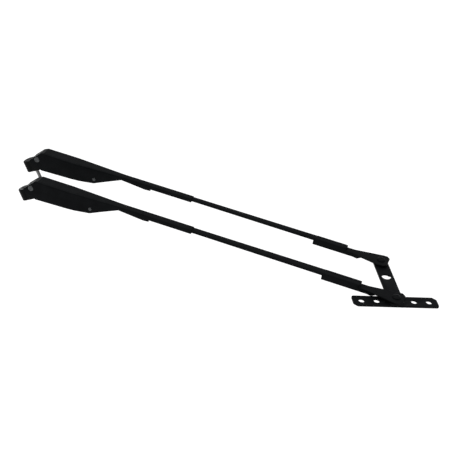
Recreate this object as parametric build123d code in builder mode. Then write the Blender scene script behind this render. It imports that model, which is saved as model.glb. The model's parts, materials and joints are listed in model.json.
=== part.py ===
"""Pantograph windshield wiper arm pair: two sprung arms, a tip link plate and a four-hole blade bar.

Millimetres, +Z away from the glass, +X from the heads to the tips, +Y from the main arm to the idler arm.
The origin is the mouth of the main spindle bore, on the underside of the main head.
"""

from build123d import *
from math import acos, asin, atan2, cos, degrees, hypot, pi, radians, sin, tan
import os

# Linkage
main_reach = 464.1  # main pivot axis to main tip rivet
idler_reach = 455.4  # idler pivot axis to idler tip rivet
link_centres = 74.1  # tip rivet to tip rivet
link_lean = 28.3  # the link leans back from square to the arms, degrees
head_droop = 30.0  # each head folds under its arm by this angle when off the vehicle, degrees

# Heads, measured from the pivot axis with the head level
spindle_offset = 15.5  # pivot axis to spindle axis, which is the main boss's centre too
stud_offset = 13.2  # idler pivot axis to its stud
idler_boss_offset = 18.2  # idler pivot axis to the centre of its longer boss's round end
boss_radius = 7.7
boss_top = 0.2
head_bottom = 14.8
neck_half_width = 6.9
ramp_start = 11.5  # behind the pivot axis, where the top steps up to the ramp
ramp_clearance = 4.2  # the ramp's distance from the pivot axis
ramp_angle = 15.0
stop_length = 3.5  # the flat that stops the arm, under the cover
stop_gap = 0.15  # between the stop and the cover at rest
nose_undercut = 4.0  # the nose's front leans back by this
nose_bottom = 4.0  # the nose's lower front corner, below the pivot axis
heel = 2.5  # the underside ends this far behind the pivot axis
cast_edge = 0.8  # rounding of the casting's rims

# Spindle and stud
sleeve_radius = 5.2
spindle_radius = 4.0
set_screw_radius = 2.0
set_screw_height = 6.5  # below the boss top
set_screw_gap = 0.3  # left to the spindle
set_screw_sink = 0.3  # below the boss's wall
hex_socket = 2.0  # across flats
hex_depth = 1.8
stud_radius = 2.2
stud_length = 26.0  # below the head
stud_insert = 9.0  # pressed into the head
collar_radius = 3.6
collar_height = 1.6
clip_groove_depth = 0.4
clip_groove_width = 1.0
clip_groove_inset = 2.2  # from the groove's middle to the stud's end
stud_chamfer = 0.6

# Pins
pivot_radius = 2.3
pivot_head_radius = 3.6
pivot_head_height = 1.0
running_gap = 0.08  # radial gap of a pin in the hole that turns on it
anchor_radius = 1.5  # pin across the head, which holds the spring's hook
anchor_ahead = 1.0  # ahead of the pivot axis
anchor_below = 7.8
anchor_inset = 0.1  # the pin's ends under the neck's sides
spring_pin_along = 80.0  # pivot axis to spring pin
spring_pin_below = 3.4
spring_pin_radius = 1.6
spring_pin_head_radius = 2.2
spring_pin_head_height = 0.7

# Springs
coil_radius = 4.2  # to the middle of the wire
spring_wire = 1.5
spring_turns = 12
steps_per_turn = 12  # the coil is plain: straight stretches of six-sided wire
hook_length = 18.0  # pin axis to the coil's end
hook_gap = 0.1  # hook's eye round its pin
hook_turn = 225.0  # each hook's bend, degrees
hook_slot = 2.6  # slot through the head's nose for the hook
hook_swing = 65.0  # the slot is open to the hook up to this slope, degrees

# Covers, each one pressed sheet that narrows to a channel
sheet = 1.3
cover_half_width = 8.6
rear_edge_clearance = 4.5  # the sloped rear edge's distance from the pivot axis
rear_edge_angle = 45.0
flank_tip_along = -10.0  # lowest rear corner of the flanks
flank_tip_below = 6.7
flank_rear = 7.2  # where the flanks come to their full depth
flank_rear_depth = 13.8
flank_front = 60.0
flank_front_depth = 11.9
lobe_depth = 6.1  # flank under the spring pin's axis
lobe_front = 13.5  # ahead of the spring pin's axis, where the flank sweeps up
neck_along = 116.0
neck_height = 6.3
low_along = 149.0  # where the open flanks are deepest again
low_height = 3.3
open_end = 156.0  # the flanks hang open to here, then fold under the rod
open_end_height = 3.9
rear_bevel_drop = 2.2  # the top falls by this at its rear end
rear_bevel_run = 5.2
taper_start = 50.0
taper_end = 118.0
taper_blend = 60.0  # radius where the taper starts and ends
channel_end = 211.0
shoulder_radius = 2.1  # outer rounding between top and flank
flank_blend = 3.0  # radius along the flanks' lower edge
lip_slot = 2.4  # slot left between the folded lips
rod_gap = 0.05  # rod in its channel, each side

# Rods
main_rod_width = 7.0
main_rod_thickness = 3.2
idler_rod_width = 6.0
idler_rod_thickness = 2.8
rod_edge = 0.8
rod_seat = 7.3  # rod's underside above the pivot axis
rod_start = 128.0
rod_end = 43.0  # rod ends this far before the tip rivet

# Tip fittings, each a pressed channel with its flanges down, ears round the rod and a flat tab
main_fitting_start = 89.0  # before the tip rivet
idler_fitting_start = 84.5
flare_start = 34.0  # before the tip rivet, where the channel starts to widen to the tab
flange_end = 23.0
flange_slope = 5.0  # the flange's end rises over this length
flange_depth = 5.2  # below the rod's seat
fitting_sheet = 1.6
ear_inset = 3.0  # the ears start this far into the fitting
ear_end = 45.0  # and end this far before the tip rivet
ear_rise = 0.7  # ears fold over the rod by this thickness
ear_slot = 2.6  # left open between the two folded ears
tab_half_width = 11.0
tab_full = 2.0  # before the tip rivet, where the tab is at full width
tab_overhang = 9.0
tab_corner = 3.6

# Tip link
washer_radius = 6.2
washer_thickness = 1.6
seat_gap = 0.1  # between faces that slide on one another
link_thickness = 2.4
link_width = 18.0
link_overhang = 9.0
link_corner = 3.0
keyhole_radius = 5.2
keyhole_slot = 5.6
keyhole_slot_reach = 6.4  # slot's end from the round hole's centre
keyhole_shift = 0.4  # round hole's centre off the link's centre line
keyhole_along = 44.6  # from the main tip rivet
bar_thickness = 2.4
bar_width = 18.0
bar_length = 101.5
bar_chamfer = 4.5
bar_corner = 2.8
hole_pitch = 18.0
inner_gap = 44.6
blade_hole_radius = 3.6
rivet_radius = 3.2
rivet_head_radius = 5.0
rivet_head_height = 1.7
rivet_tail_height = 1.2
bracket_pin_radius = 1.6
bracket_pin_head_radius = 2.3
bracket_pin_head_height = 0.7
bracket_pin_along = 6.5  # from the tip rivet, along the link
bracket_pin_across = 6.2

# Places that follow from the sizes above
droop = radians(head_droop)
lean = radians(link_lean)
main_pivot = Vector(
    spindle_offset * cos(droop) - head_bottom * sin(droop),
    0,
    spindle_offset * sin(droop) + head_bottom * cos(droop),
)
main_tip = main_pivot + Vector(main_reach, 0, 0)
link_direction = Vector(-sin(lean), cos(lean), 0)
idler_tip = main_tip + link_direction * link_centres
idler_pivot = idler_tip - Vector(idler_reach, 0, 0)
tab_underside = rod_seat - fitting_sheet
link_top = tab_underside - washer_thickness - seat_gap
bar_top = link_top - link_thickness
bar_underside = bar_top - bar_thickness
reach_through = 40.0  # longer than anything that a cut has to pass through


def side_plane(centre):
    """Plane through an arm's centre line: x along the arm, y up."""
    return Plane(origin=centre, x_dir=(1, 0, 0), z_dir=(0, -1, 0))


def plan_plane(centre, height, direction=(1, 0, 0)):
    """Plane parallel to the glass at a height above a pivot axis, x along the direction."""
    return Plane(origin=centre + Vector(0, 0, height), x_dir=direction, z_dir=(0, 0, 1))


def head_side_plane(pivot):
    """Side plane turned with the drooped head: x toward the arm, y along the spindle axis."""
    return Plane(origin=pivot, x_dir=(cos(droop), 0, sin(droop)), z_dir=(0, -1, 0))


def head_plan_plane(pivot, height):
    """Plane square to the spindle axis at a height above the pivot axis."""
    up = Vector(-sin(droop), 0, cos(droop))
    return Plane(origin=pivot + up * height, x_dir=(cos(droop), 0, sin(droop)), z_dir=up)


def in_head(along, above):
    """A point of the arm's side plane, in the head's own side plane at rest."""
    return (along * cos(droop) + above * sin(droop), above * cos(droop) - along * sin(droop))


def in_arm(ahead, above):
    """A point of the head's side plane, in the arm's side plane at rest."""
    return (ahead * cos(droop) - above * sin(droop), ahead * sin(droop) + above * cos(droop))


def cover_top(rod_thickness):
    """Height of a cover's top above its pivot axis."""
    return rod_seat + rod_thickness + rod_gap + sheet


def channel_half_width(rod_width):
    """Outer half width of the channel that a cover narrows to."""
    return rod_width / 2 + rod_gap + sheet


def cover_half_width_at(along, rod_width):
    """Outer half width of a cover on the straight stretch of its taper."""
    narrowed = (along - taper_start) / (taper_end - taper_start)
    return cover_half_width - narrowed * (cover_half_width - channel_half_width(rod_width))


def rear_edge_along(height):
    """Where a cover's sloped rear edge comes up to a height above the pivot axis."""
    slope = radians(rear_edge_angle)
    return (height - rear_edge_clearance / cos(slope)) / tan(slope)


def rear_bevel_end(rod_thickness):
    """How far ahead of the pivot axis a cover's top becomes level."""
    return rear_edge_along(cover_top(rod_thickness) - rear_bevel_drop) + rear_bevel_run


def ramp_end_along(level, level_start):
    """Where the head's ramp meets the bevelled stop under the cover, in the arm's side plane."""
    slope = droop + radians(ramp_angle)
    bevel = rear_bevel_drop / rear_bevel_run
    return (level - bevel * level_start - ramp_clearance / cos(slope)) / (tan(slope) - bevel)


def make_head(pivot, rod_thickness, boss_offset, bore_offset, bore_radius, bore_depth, has_set_screw):
    """Cast head: spindle boss, neck between the cover's flanks, and a forked nose that stops the arm."""
    stop_height = cover_top(rod_thickness) - sheet - stop_gap
    stop_start = rear_bevel_end(rod_thickness)
    ramp = radians(ramp_angle)
    ramp_foot = (ramp_clearance - ramp_start * sin(ramp)) / cos(ramp)
    ramp_end = ramp_end_along(stop_height, stop_start)
    ramp_end_drop = (stop_start - ramp_end) * rear_bevel_drop / rear_bevel_run
    nose = in_head(stop_start + stop_length, stop_height)
    slot_rear = anchor_ahead - anchor_radius - spring_wire - 4 * hook_gap
    slot_height = nose[1] + anchor_below + head_bottom
    with BuildPart() as head:
        with BuildSketch(head_plan_plane(pivot, -head_bottom)):
            with Locations((-boss_offset, 0)):
                Circle(boss_radius)
        extrude(amount=head_bottom + boss_top)
        fillet(head.edges().filter_by(GeomType.CIRCLE), cast_edge)
        with BuildSketch(head_side_plane(pivot)):
            with BuildLine():
                Polyline(
                    (-boss_offset, -head_bottom),
                    (-boss_offset, boss_top),
                    (-ramp_start, boss_top),
                    (-ramp_start, ramp_foot),
                    in_head(ramp_end, stop_height - ramp_end_drop),
                    in_head(stop_start, stop_height),
                    nose,
                    (nose[0] - nose_undercut, -nose_bottom),
                    (anchor_ahead + 3 * anchor_radius, -anchor_below - 2 * anchor_radius),
                    (-heel, -head_bottom),
                    close=True,
                )
            make_face()
        extrude(amount=neck_half_width, both=True)
        with BuildSketch(head_side_plane(pivot)):
            Circle(pivot_radius + running_gap)
            with Locations((anchor_ahead, -anchor_below)):
                Circle(anchor_radius)
        extrude(amount=boss_radius, both=True, mode=Mode.SUBTRACT)
        with BuildSketch(head_side_plane(pivot)):
            with BuildLine():
                Polyline(
                    (slot_rear, -head_bottom - anchor_radius),
                    (slot_rear, -anchor_below),
                    (slot_rear + slot_height / tan(radians(hook_swing)), -anchor_below + slot_height),
                    (nose[0] + anchor_radius, -anchor_below + slot_height),
                    (nose[0] + anchor_radius, -head_bottom - anchor_radius),
                    close=True,
                )
            make_face()
        extrude(amount=hook_slot / 2, both=True, mode=Mode.SUBTRACT)
        with BuildSketch(head_plan_plane(pivot, -head_bottom)):
            with Locations((-bore_offset, 0)):
                Circle(bore_radius)
        extrude(amount=bore_depth, mode=Mode.SUBTRACT)
        if has_set_screw:
            with BuildSketch(set_screw_plane(pivot)):
                Circle(set_screw_radius)
            extrude(amount=2 * boss_radius, mode=Mode.SUBTRACT)
    return head


def set_screw_plane(pivot):
    """Plane on the spindle axis at the set screw's height, facing back out of the boss."""
    ahead, above = in_arm(-spindle_offset, boss_top - set_screw_height)
    return Plane(
        origin=pivot + Vector(ahead, 0, above),
        x_dir=(0, 1, 0),
        z_dir=(-cos(droop), 0, -sin(droop)),
    )


def dome_middle(radius, rise):
    """Middle point of a dome's arc, from its rim at (radius, 0) to its crown at (0, rise)."""
    sphere = (radius**2 + rise**2) / (2 * rise)
    half_angle = asin(radius / sphere) / 2
    return Vector(sphere * sin(half_angle), rise - sphere * (1 - cos(half_angle)))


def make_cross_pin(centre, half_length, radius, head_radius, head_height):
    """Pin across an arm, with a low domed head on each side."""
    rim = Vector(head_radius, half_length + head_height / 3)
    crown = Vector(0, half_length + head_height)
    middle = dome_middle(head_radius, crown.Y - rim.Y) + Vector(0, rim.Y)
    with BuildPart() as pin:
        with BuildSketch(Plane(origin=centre, x_dir=(1, 0, 0), z_dir=(0, 0, 1))):
            with BuildLine():
                Polyline(crown, (0, 0), (radius, 0), (radius, half_length), (head_radius, half_length), rim)
                ThreePointArc(rim, middle, crown)
            make_face()
        revolve(axis=Axis(centre, (0, 1, 0)))
        mirror(about=Plane(origin=centre, x_dir=(1, 0, 0), z_dir=(0, 1, 0)))
    return pin


def make_rivet(centre, top, bottom, radius, head_radius, head_height, tail_height):
    """Upright rivet between two heights, with a domed head above and a flat formed tail below."""
    tail_radius = (radius + head_radius) / 2
    rim = Vector(head_radius, top + head_height / 4)
    crown = Vector(0, top + head_height)
    middle = dome_middle(head_radius, crown.Y - rim.Y) + Vector(0, rim.Y)
    with BuildPart() as rivet:
        with BuildSketch(side_plane(centre)):
            with BuildLine():
                Polyline(
                    crown,
                    (0, bottom - tail_height),
                    (tail_radius - tail_height / 2, bottom - tail_height),
                    (tail_radius, bottom),
                    (radius, bottom),
                    (radius, top),
                    (head_radius, top),
                    rim,
                )
                ThreePointArc(rim, middle, crown)
            make_face()
        revolve(axis=Axis(centre, (0, 0, 1)))
    return rivet


def plan_outline(half_width, channel_half, start, end):
    """A cover's outline seen from above, with blended corners at both ends of its taper."""
    with BuildSketch() as outline:
        with BuildLine():
            side = FilletPolyline(
                (start, half_width),
                (taper_start, half_width),
                (taper_end, channel_half),
                (end, channel_half),
                radius=taper_blend,
            )
            mirror(side, about=Plane.XZ)
            Line((start, half_width), (start, -half_width))
            Line((end, channel_half), (end, -channel_half))
        make_face()
    return outline.sketch


def make_cavity(pivot, rod_width, rod_thickness):
    """The space inside a cover: open below up to the channel, then the rod's own section."""
    ceiling = cover_top(rod_thickness) - sheet
    bevel_end = rear_bevel_end(rod_thickness)
    start = flank_tip_along - sheet
    end = channel_end + sheet
    with BuildPart() as cavity:
        with BuildSketch(side_plane(pivot)):
            with BuildLine():
                Polyline(
                    (start, -reach_through),
                    (start, ceiling - (bevel_end - start) * rear_bevel_drop / rear_bevel_run),
                    (bevel_end, ceiling),
                    (end, ceiling),
                    (end, rod_seat - rod_gap),
                    (open_end, rod_seat - rod_gap),
                    (open_end, -reach_through),
                    close=True,
                )
            make_face()
        extrude(amount=cover_half_width, both=True)
        with BuildSketch(plan_plane(pivot, -reach_through)):
            add(plan_outline(cover_half_width - sheet, rod_width / 2 + rod_gap, start, end))
        extrude(amount=2 * reach_through, mode=Mode.INTERSECT)
        fillet(shoulder_edges(cavity), shoulder_radius - sheet)
    return cavity


def shoulder_edges(block):
    """The edges that run along the arm on both sides of a cover's top and of its rear bevel."""
    top_faces = block.faces().sort_by(Axis.Z)[-2:]
    return top_faces.edges().filter_by(lambda edge: edge.bounding_box().size.X > rear_bevel_drop)


def make_cover(pivot, rod_width, rod_thickness):
    """Pressed cover: round-shouldered channel with deep flanks at the head and folded lips at the rod."""
    top = cover_top(rod_thickness)
    edge_slope = radians(rear_edge_angle)
    rear_edge_low = flank_tip_along * tan(edge_slope) + rear_edge_clearance / cos(edge_slope)
    lips = rod_seat - rod_gap - sheet
    cavity = make_cavity(pivot, rod_width, rod_thickness)
    with BuildPart() as cover:
        with BuildSketch(side_plane(pivot)) as side:
            with BuildLine():
                Polyline(
                    (flank_tip_along, -flank_tip_below),
                    (flank_tip_along, rear_edge_low),
                    (rear_edge_along(top - rear_bevel_drop), top - rear_bevel_drop),
                    (rear_bevel_end(rod_thickness), top),
                    (channel_end, top),
                    (channel_end, lips),
                    (open_end, lips),
                    (open_end, open_end_height),
                    (low_along, low_height),
                    (neck_along, neck_height),
                    (spring_pin_along + lobe_front, -spring_pin_below),
                    (spring_pin_along, -spring_pin_below - lobe_depth),
                    (flank_front, -flank_front_depth),
                    (flank_rear, -flank_rear_depth),
                    close=True,
                )
            make_face()
            fillet(
                side.vertices().filter_by(
                    lambda corner: flank_tip_along < corner.X < open_end and corner.Y < neck_height + rod_gap
                ),
                flank_blend,
            )
        extrude(amount=cover_half_width, both=True)
        with BuildSketch(plan_plane(pivot, -reach_through)):
            add(plan_outline(cover_half_width, channel_half_width(rod_width), flank_tip_along, channel_end))
        extrude(amount=2 * reach_through, mode=Mode.INTERSECT)
        fillet(shoulder_edges(cover), shoulder_radius)
        add(cavity.part, mode=Mode.SUBTRACT)
        with BuildSketch(plan_plane(pivot, -reach_through)):
            with Locations(((open_end + channel_end) / 2, 0)):
                Rectangle(channel_end - open_end, lip_slot)
        extrude(amount=reach_through + rod_seat, mode=Mode.SUBTRACT)
        with BuildSketch(side_plane(pivot)):
            Circle(pivot_radius)
            with Locations((spring_pin_along, -spring_pin_below)):
                Circle(spring_pin_radius)
        extrude(amount=cover_half_width, both=True, mode=Mode.SUBTRACT)
    return cover


def make_rod(pivot, reach, width, thickness):
    """Flat rod with rounded edges, from inside the cover's channel to the tip fitting."""
    with BuildPart() as rod:
        with BuildSketch(Plane(origin=pivot + Vector(rod_start, 0, rod_seat), x_dir=(0, 1, 0), z_dir=(1, 0, 0))):
            RectangleRounded(width, thickness, rod_edge, align=(Align.CENTER, Align.MIN))
        extrude(amount=reach - rod_end - rod_start)
    return rod


def fitting_outline(start, half_width, tab_half):
    """A tip fitting's outline seen from above: straight along the rod, then flared to the tab."""
    with BuildSketch() as outline:
        with BuildLine():
            side = Polyline(
                (-start, half_width),
                (-flare_start, half_width),
                (-tab_full, tab_half),
                (tab_overhang, tab_half),
            )
            mirror(side, about=Plane.XZ)
            Line((-start, half_width), (-start, -half_width))
            Line((tab_overhang, tab_half), (tab_overhang, -tab_half))
        make_face()
    return outline.sketch


def make_fitting(tip, fitting_start, rod_width, rod_thickness):
    """Tip fitting: inverted channel under the rod, ears folded over the rod, and a flat tab."""
    half = rod_width / 2 + rod_gap + fitting_sheet
    with BuildPart() as fitting:
        with BuildSketch(side_plane(tip)):
            with BuildLine():
                Polyline(
                    (-fitting_start, rod_seat),
                    (-fitting_start, rod_seat - flange_depth),
                    (-flange_end - flange_slope, rod_seat - flange_depth),
                    (-flange_end, tab_underside),
                    (tab_overhang, tab_underside),
                    (tab_overhang, rod_seat),
                    close=True,
                )
            make_face()
        extrude(amount=tab_half_width, both=True)
        with BuildSketch(plan_plane(tip, 0)) as plan:
            add(fitting_outline(fitting_start, half, tab_half_width))
            chamfer(plan.vertices().group_by(Axis.X)[-1], tab_corner)
        extrude(amount=rod_seat, mode=Mode.INTERSECT)
        top_edges = fitting.faces().sort_by(Axis.Z)[-1].edges()
        fillet(top_edges.filter_by(lambda edge: edge.bounding_box().size.X > tab_overhang), fitting_sheet / 2)
        with BuildSketch(plan_plane(tip, 0)):
            add(fitting_outline(fitting_start, half - fitting_sheet, tab_half_width - fitting_sheet))
        extrude(amount=tab_underside, mode=Mode.SUBTRACT)
        ear_plane = Plane(
            origin=tip + Vector(ear_inset - fitting_start, 0, rod_seat - fitting_sheet),
            x_dir=(0, 1, 0),
            z_dir=(1, 0, 0),
        )
        with BuildSketch(ear_plane) as wrap:
            Rectangle(2 * half, fitting_sheet + rod_thickness + ear_rise, align=(Align.CENTER, Align.MIN))
            fillet(wrap.vertices().group_by(Axis.Y)[-1], fitting_sheet)
            with Locations((0, fitting_sheet)):
                Rectangle(
                    rod_width + 2 * rod_gap,
                    rod_thickness + rod_gap,
                    align=(Align.CENTER, Align.MIN),
                    mode=Mode.SUBTRACT,
                )
                Rectangle(
                    ear_slot,
                    rod_thickness + ear_rise,
                    align=(Align.CENTER, Align.MIN),
                    mode=Mode.SUBTRACT,
                )
        extrude(amount=fitting_start - ear_inset - ear_end)
        with BuildSketch(plan_plane(tip, tab_underside)):
            Circle(rivet_radius + running_gap)
        extrude(amount=fitting_sheet, mode=Mode.SUBTRACT)
    return fitting


def make_spring():
    """Tension spring from a head's anchor pin to its cover's spring pin, about a pivot at the origin."""
    rear = Vector(*in_arm(anchor_ahead, -anchor_below))
    front = Vector(spring_pin_along, -spring_pin_below)
    span = (front - rear).length
    slope = atan2(front.Y - rear.Y, front.X - rear.X)
    along = Vector(cos(slope), 0, sin(slope))
    start = Vector(rear.X, 0, rear.Y)
    frame = Plane(origin=start, x_dir=along, z_dir=(0, -1, 0))
    step_length = (span - 2 * hook_length) / (spring_turns * steps_per_turn)
    coil_plane = Plane(origin=start + along * hook_length, x_dir=(-sin(slope), 0, cos(slope)), z_dir=along)
    hooks = (
        (anchor_radius + hook_gap + spring_wire / 2, 0, 1),
        (spring_pin_radius + hook_gap + spring_wire / 2, span, -1),
    )
    coil_points = []
    for step in range(spring_turns * steps_per_turn + 1):
        turned = 2 * pi * step / steps_per_turn
        coil_points.append((coil_radius * cos(turned), coil_radius * sin(turned), step * step_length))
    with BuildPart() as spring:
        with BuildLine(coil_plane) as coil:
            Polyline(*coil_points)
        path = coil.wires()[0]
        with BuildSketch(Plane(origin=path @ 0, z_dir=path % 0)):
            RegularPolygon(spring_wire / 2, 6)
        sweep(path=path, transition=Transition.RIGHT)
        for eye, pin_along, side in hooks:
            leg = hypot(hook_length, coil_radius)
            tangent = degrees(atan2(coil_radius, hook_length)) + degrees(acos(eye / leg))
            first = tangent if side > 0 else 180 - tangent
            with BuildLine(frame) as hook:
                ring = CenterArc((pin_along, 0), eye, first, side * hook_turn)
                Line((pin_along + side * (hook_length + spring_wire / 2), coil_radius), ring @ 0)
            path = hook.wires()[0]
            with BuildSketch(Plane(origin=path @ 0, z_dir=path % 0)):
                Circle(spring_wire / 2)
            sweep(path=path)
    return spring


def placed(block, pivot):
    """A copy of a block made about the origin, moved to a pivot."""
    with BuildPart() as copy:
        add(block.part.moved(Location(pivot)))
    return copy


def stud_axis(pivot):
    """Axis of the idler's stud, upward from the head's underside."""
    mouth = head_side_plane(pivot).from_local_coords((-stud_offset, -head_bottom))
    return Axis(mouth, head_plan_plane(pivot, 0).z_dir)


def make_sleeve(pivot, depth):
    """Steel sleeve pressed into the main head, which clamps on the spindle."""
    with BuildPart() as sleeve:
        with BuildSketch(head_plan_plane(pivot, -head_bottom)):
            with Locations((-spindle_offset, 0)):
                Circle(sleeve_radius)
                Circle(spindle_radius, mode=Mode.SUBTRACT)
        extrude(amount=depth)
        with BuildSketch(set_screw_plane(pivot)):
            Circle(set_screw_radius)
        extrude(amount=boss_radius, mode=Mode.SUBTRACT)
    return sleeve


def make_set_screw(pivot):
    """Headless hexagon socket screw in the back of the main head's boss."""
    length = boss_radius - set_screw_sink - spindle_radius - set_screw_gap
    inner_end = set_screw_plane(pivot).offset(spindle_radius + set_screw_gap)
    with BuildPart() as screw:
        with BuildSketch(inner_end):
            Circle(set_screw_radius)
        extrude(amount=length)
        with BuildSketch(inner_end.offset(length - hex_depth)):
            RegularPolygon(hex_socket / 2, 6, major_radius=False)
        extrude(amount=hex_depth, mode=Mode.SUBTRACT)
    return screw


def make_stud(pivot):
    """Turned steel stud of the idler head: pressed shank, collar, running length and clip groove."""
    groove = stud_length - clip_groove_inset
    with BuildPart() as stud:
        with BuildSketch(head_side_plane(pivot).shift_origin(stud_axis(pivot).position)):
            with BuildLine():
                Polyline(
                    (0, stud_insert),
                    (stud_radius, stud_insert),
                    (stud_radius, 0),
                    (collar_radius, 0),
                    (collar_radius, -collar_height),
                    (stud_radius, -collar_height),
                    (stud_radius, -groove + clip_groove_width / 2),
                    (stud_radius - clip_groove_depth, -groove + clip_groove_width / 2),
                    (stud_radius - clip_groove_depth, -groove - clip_groove_width / 2),
                    (stud_radius, -groove - clip_groove_width / 2),
                    (stud_radius, stud_chamfer - stud_length),
                    (stud_radius - stud_chamfer, -stud_length),
                    (0, -stud_length),
                    close=True,
                )
            make_face()
        revolve(axis=stud_axis(pivot))
    return stud


def make_anchor_pin(pivot):
    """Straight pin pressed across the head, which the spring hooks onto."""
    with BuildPart() as pin:
        with BuildSketch(head_side_plane(pivot)):
            with Locations((anchor_ahead, -anchor_below)):
                Circle(anchor_radius)
        extrude(amount=neck_half_width - anchor_inset, both=True)
    return pin


def make_washer(tip):
    """Flat washer between a tip fitting and the link plate."""
    with BuildPart() as washer:
        with BuildSketch(plan_plane(tip, link_top)):
            Circle(washer_radius)
            Circle(rivet_radius, mode=Mode.SUBTRACT)
        extrude(amount=washer_thickness)
    return washer


def bracket_pin_places():
    """The two pins that lock the bar to the link plate, in the link's own plane."""
    return [(side * bracket_pin_along, side * bracket_pin_across) for side in (1, -1)]


def make_link_plate():
    """Link plate between the two tips, with a keyhole through its middle."""
    slot = keyhole_slot_reach
    with BuildPart() as plate:
        with BuildSketch(plan_plane(main_tip, bar_top, link_direction)):
            with Locations((link_centres / 2, 0)):
                RectangleRounded(link_centres + 2 * link_overhang, link_width, link_corner)
            with Locations((0, 0), (link_centres, 0)):
                Circle(rivet_radius, mode=Mode.SUBTRACT)
            with Locations((keyhole_along, keyhole_shift)):
                Circle(keyhole_radius, mode=Mode.SUBTRACT)
            with Locations((keyhole_along, keyhole_shift - slot / 2)):
                Rectangle(keyhole_slot, slot, mode=Mode.SUBTRACT)
            with Locations(*bracket_pin_places()):
                Circle(bracket_pin_radius, mode=Mode.SUBTRACT)
        extrude(amount=link_thickness)
    return plate


def make_blade_bar():
    """Flat bar square to the link plate, with two holes at each end for the blade."""
    with BuildPart() as bar:
        with BuildSketch(plan_plane(main_tip, bar_underside, link_direction)) as outline:
            Rectangle(bar_width, bar_length)
            corners = outline.vertices()
            cut = corners.filter_by(lambda corner: corner.X * corner.Y < 0)
            rounded = corners.filter_by(lambda corner: corner.X * corner.Y > 0)
            chamfer(cut, bar_chamfer)
            fillet(rounded, bar_corner)
            for side in (1, -1):
                for from_centre in (inner_gap / 2, inner_gap / 2 + hole_pitch):
                    with Locations((0, side * from_centre)):
                        Circle(blade_hole_radius, mode=Mode.SUBTRACT)
            Circle(rivet_radius, mode=Mode.SUBTRACT)
            with Locations(*bracket_pin_places()):
                Circle(bracket_pin_radius, mode=Mode.SUBTRACT)
        extrude(amount=bar_thickness)
    return bar


def make_bracket_pins():
    """The two riveted pins between link plate and bar, one node."""
    with BuildPart() as pins:
        for along, across in bracket_pin_places():
            place = plan_plane(main_tip, 0, link_direction).from_local_coords((along, across))
            add(
                make_rivet(
                    place,
                    link_top,
                    bar_underside,
                    bracket_pin_radius,
                    bracket_pin_head_radius,
                    bracket_pin_head_height,
                    bracket_pin_head_height,
                ).part
            )
    return pins


def make_arm(prefix, pivot, tip, fitting_start, rod_width, rod_thickness, rivet_bottom):
    """The pieces that both arms share, by node name."""
    half_at_spring_pin = cover_half_width_at(spring_pin_along - spring_pin_head_radius, rod_width)
    reach = (tip - pivot).length
    return {
        f"{prefix}_cover": make_cover(pivot, rod_width, rod_thickness),
        f"{prefix}_rod": make_rod(pivot, reach, rod_width, rod_thickness),
        f"{prefix}_tip_fitting": make_fitting(tip, fitting_start, rod_width, rod_thickness),
        f"{prefix}_pivot_pin": make_cross_pin(
            pivot, cover_half_width, pivot_radius, pivot_head_radius, pivot_head_height
        ),
        f"{prefix}_head_anchor_pin": make_anchor_pin(pivot),
        f"{prefix}_spring": placed(spring, pivot),
        f"{prefix}_spring_pin": make_cross_pin(
            pivot + Vector(spring_pin_along, 0, -spring_pin_below),
            half_at_spring_pin,
            spring_pin_radius,
            spring_pin_head_radius,
            spring_pin_head_height,
        ),
        f"{prefix}_tip_washer": make_washer(tip),
        f"{prefix}_tip_rivet": make_rivet(
            tip,
            rod_seat + seat_gap,
            rivet_bottom,
            rivet_radius,
            rivet_head_radius,
            rivet_head_height,
            rivet_tail_height,
        ),
    }


main_bore_depth = head_bottom + boss_top
spring = make_spring()
pieces = {
    "main_head": make_head(
        main_pivot,
        main_rod_thickness,
        boss_offset=spindle_offset,
        bore_offset=spindle_offset,
        bore_radius=sleeve_radius,
        bore_depth=main_bore_depth,
        has_set_screw=True,
    ),
    "main_spindle_sleeve": make_sleeve(main_pivot, main_bore_depth),
    "main_set_screw": make_set_screw(main_pivot),
    "idler_head": make_head(
        idler_pivot,
        idler_rod_thickness,
        boss_offset=idler_boss_offset,
        bore_offset=stud_offset,
        bore_radius=stud_radius,
        bore_depth=stud_insert,
        has_set_screw=False,
    ),
    "idler_stud": make_stud(idler_pivot),
    "link_plate": make_link_plate(),
    "blade_bar": make_blade_bar(),
    "bracket_pins": make_bracket_pins(),
}
pieces |= make_arm(
    "main", main_pivot, main_tip, main_fitting_start, main_rod_width, main_rod_thickness, bar_underside
)
pieces |= make_arm(
    "idler", idler_pivot, idler_tip, idler_fitting_start, idler_rod_width, idler_rod_thickness, bar_top
)

os.makedirs("parts", exist_ok=True)
for name, piece in pieces.items():
    piece.part.label = name
    export_step(piece.part, f"parts/{name}.step")
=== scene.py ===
"""Looks of a pantograph wiper arm pair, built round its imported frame.

It holds the finishes, the formed pieces, the studio and the camera. Everything is in metres, in the frame
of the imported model: +X from the heads to the tips, +Y from the main arm to the idler arm, and +Z away from
the glass.
"""

import json
import logging
from dataclasses import dataclass
from enum import Enum, StrEnum
from math import acos, atan2, cos, hypot, pi, radians, sin

import bmesh
import bpy
from mathutils import Matrix, Vector


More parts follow.
